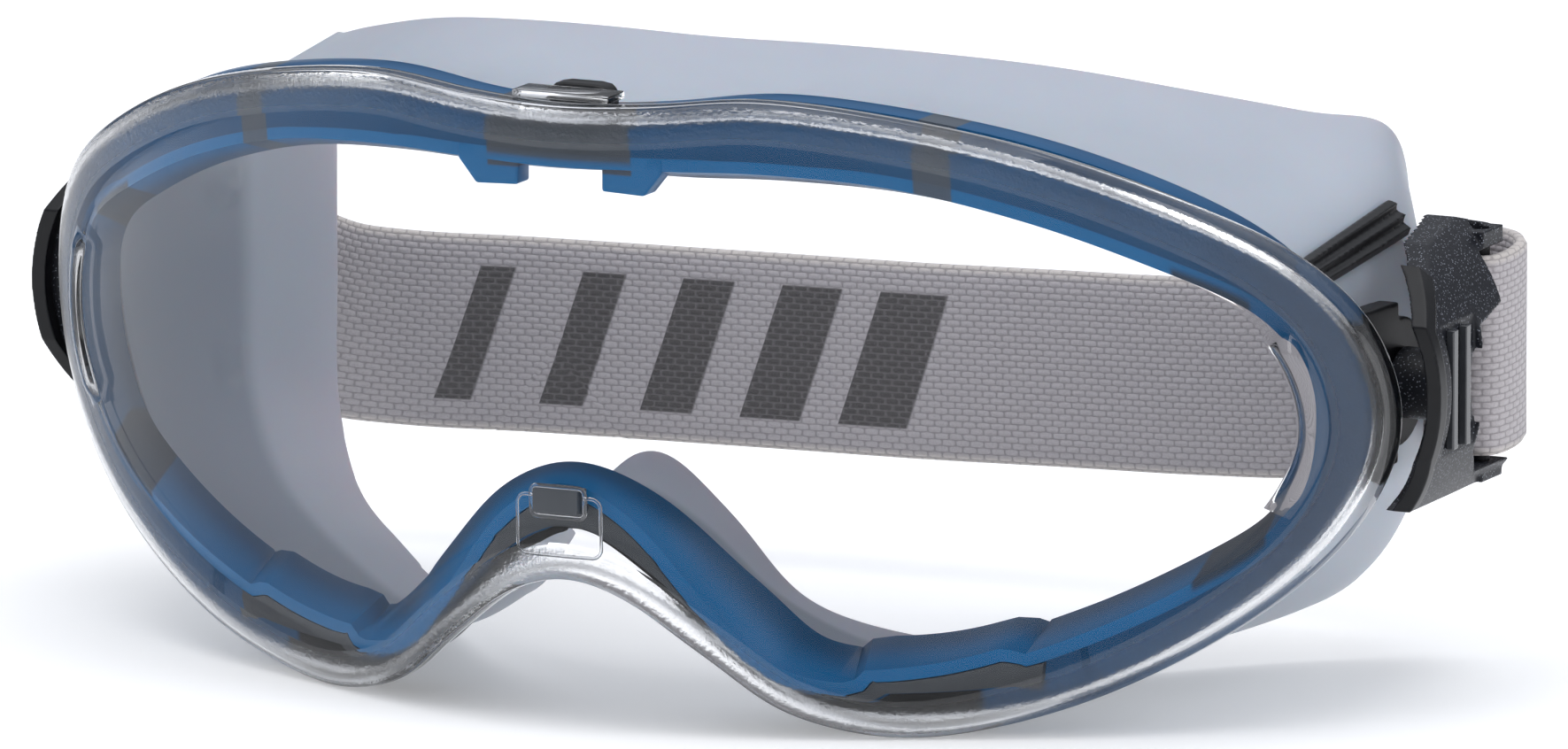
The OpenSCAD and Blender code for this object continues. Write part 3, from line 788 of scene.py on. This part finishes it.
for side in ("left", "right"):
    moulded(f"clip_body_{side}", f"strap_clip_{side}", speckled, "headband", "speckled_clip",
            0.17, 5)
    moulded(f"clip_edge_trim_{side}", f"clip_edge_{side}", black_soft, "headband", "black_soft",
            0.15, 5)
    moulded(f"clip_ribs_{side}", f"clip_rib_{side}", gloss_rib, "headband", "gloss_rib", 0.15)
    moulded(f"bracket_{side}", f"side_bracket_{side}", black_plastic, "goggles", "black_plastic")
    moulded(f"ribbed_strip_{side}", f"side_strip_{side}", black_soft, "goggles", "black_soft", 0.18)
button = [(-4.1, 38.8), (4.1, 38.8), (4.1, 41.6), (3.9, 42.6), (3.2, 43.2), (2.0, 43.4),
          (-2.0, 43.4), (-3.2, 43.2), (-3.9, 42.6), (-4.1, 41.6)]
settle(block("catch_button", button, 6.2, 9.4, black_soft, 0.5), "catch", "black_soft",
       "top_catch")
moulded("nose_catch_lug", "nose_catch", soft_dark, "goggles", "grey_soft_inlay", 0.15)
moulded("adjuster_sleeve", "adjuster", black_plastic, "adjuster", "black_plastic", 0.2)


def refinish(node, finish):
    """A CAD node whose shape is right keeps it and gets a better material"""
    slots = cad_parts[node].data.materials
    slots.clear()
    slots.append(finish.material)


for side in ("left", "right"):
    refinish(f"pivot_pin_{side}", steel)
    refinish(f"strap_bar_{side}", black_plastic)

# %% [markdown]
# ## The knitted band
#
# The band is 25 mm of knitted elastic. It hangs in an easy curve behind the seal, and
# each end turns round the bar of its clip. A strip is swept along the same middle
# line that the CAD solid follows, with rounded edges. The mesh carries the distance
# along the band and across it in millimetres, so the knit keeps its scale round the
# turns. A plain geometric print, of slanted bars that grow wider, is only a change
# of colour.

# %% Knit finish
def knit_finish(name, printed):
    made = Finish(name, Roughness=0.85, Sheen_Weight=0.25, Sheen_Roughness=0.5)
    u, v = made.carried("along_mm"), made.carried("across_mm")
    row = v / 0.8
    shift = made.node("Math", {"operation": "FLOORED_MODULO"},
                      [row.floor(), 2.0]) * 0.5
    wobble = made.noise(0.9, 2.0) * 0.5
    cell_u = (u / 1.9 + shift + wobble * 0.35).fract()
    cell_v = (row + wobble * 0.3).fract()
    loop_u = 1 - ((cell_u - 0.5).absolute() * 2) ** 2.0
    loop_v = 1 - ((cell_v - 0.5).absolute() * 2) ** 2.0
    loops = loop_u * loop_v
    # painted shade: the pits between the knit loops are painted darker
    shaded_pits = 1 - loops.above(0.22, 0.2)
    fuzz = made.noise(4.0, 3.0)
    plain = made.mix(fuzz, rgb(0.36, 0.33, 0.345), rgb(0.54, 0.51, 0.525))
    edge = v.absolute().above(11.6, 0.5)
    plain = made.mix(edge * 0.6, plain, rgb(0.60, 0.55, 0.50))
    plain = made.mix(shaded_pits * 0.55, plain, rgb(0.17, 0.155, 0.16))
    if printed:
        lean_u = u - v * 0.35
        start, pitch = -62.0, 13.4
        step = (lean_u - start) / pitch
        number = step.floor()
        inside = step.fract()
        width = 0.34 + number * 0.09
        bars = 1 - (inside - width).above(0.0, 0.02)
        bars = bars * number.above(-0.5, 0.1) * (1 - number.above(4.5, 0.1))
        bars = bars * (1 - v.absolute().above(8.6, 0.15))
        bars = bars * made.carried("face").above(0.5, 0.2)
        ink = made.mix(fuzz, rgb(0.040, 0.036, 0.038), rgb(0.075, 0.068, 0.070))
        plain = made.mix(bars * (1 - shaded_pits * 0.25), plain, ink)
    made.feed("Base Color", plain)
    return made.bump(loops + fuzz * 0.25, 0.22, 0.8)


# %% Band mesh
BAND_W, BAND_T = 25.0, 1.6
BAND_LINE = [
    (-82, 89.6, 0.5), (-84.7, 86, 2.8), (-85.6, 82, 4.5), (-85.4, 77.8, 5),
    (-86.2, 75.9, 5), (-88, 75.1, 5), (-89.8, 75.9, 5), (-90.6, 77.8, 5),
    (-90.7, 82.5, 4.2), (-88.8, 87.6, 1.5), (-84, 92.6, -3.5), (-77, 96.8, -7),
    (-67, 100, -8.2), (-54, 102.6, -8.3), (-38, 104.5, -8.3), (-19, 105.8, -8.2),
    (0, 106.2, -8), (19, 105.8, -7.4), (38, 104.4, -6.6), (54, 102.2, -5.1),
    (64, 100.2, -1.6), (72, 98, 2.6), (79.5, 95.3, 4.8), (86, 91.3, 5.4),
    (89.7, 86.6, 5.5), (90.8, 82, 5.2), (90.6, 77.8, 5), (89.8, 75.9, 5),
    (88, 75.1, 5), (86.2, 75.9, 5), (85.4, 77.8, 5)]
TAIL_LINE = [(85.4, 78.4, 5), (85.6, 82, 5), (84.4, 86, 5.4), (81.4, 89.4, 5.2),
             (77.8, 92, 4.8), (74.8, 93.6, 4.2)]
MIDDLE_OF_BAND = 16
EDGE_CUTS, FACE_CUTS = 3, 10


def band_outline():
    """Across and through the band: (across, through, is it the inner face)"""
    half_w, half_t = BAND_W / 2, BAND_T / 2
    points = []
    for face, sign in ((0.0, -1), (1.0, 1)):
        for k in range(FACE_CUTS + 1):
            share = -1 + 2 * k / FACE_CUTS
            points.append((-sign * share * (half_w - half_t), sign * half_t, face))
        for k in range(1, EDGE_CUTS):
            turn = math.pi * k / EDGE_CUTS
            points.append((-sign * ((half_w - half_t) + half_t * math.sin(turn)),
                           sign * half_t * math.cos(turn), face))
    return points


def band(name, line, printed, steps=10):
    c = open_curve(line, steps)
    last_point = len(c) - 1
    lengths = [0.0]
    for a, b in zip(c, c[1:]):
        lengths.append(lengths[-1] + (b - a).length)
    zero = lengths[MIDDLE_OF_BAND * steps] if printed else 0.0
    rows, u_mm, v_mm, faces = [], [], [], []
    for i, p in enumerate(c):
        along = (c[min(i + 1, last_point)] - c[max(i - 1, 0)]).normalized()
        up = (Vector((0, 0, 1)) - along * along.z).normalized()
        out = along.cross(up)
        row = []
        for across, through, face in band_outline():
            row.append(p + up * across + out * through)
            u_mm.append(lengths[i] - zero)
            v_mm.append(across)
            faces.append(face)
        rows.append(row)
    made = skin(name, rows, knit_finish("knit_" + name, printed), caps=True,
                carried={"along_mm": u_mm, "across_mm": v_mm, "face": faces})
    return made, lengths[-1]


webbing, band_length = band("elastic_band", BAND_LINE, True)
settle(webbing, "headband", "knit_band", "headband")
tail, tail_length = band("sewn_tail", TAIL_LINE, False)
settle(tail, "headband", "knit_band", "band_tail")
print("band, mm:", round(band_length), "and tail, mm:", round(tail_length))

thread = Finish("sewing_thread", Roughness=0.7)
thread.feed("Base Color", thread.mix(thread.noise(3.0), rgb(0.3, 0.28, 0.3),
                                     rgb(0.45, 0.43, 0.45)))
refinish("band_stitching", thread)
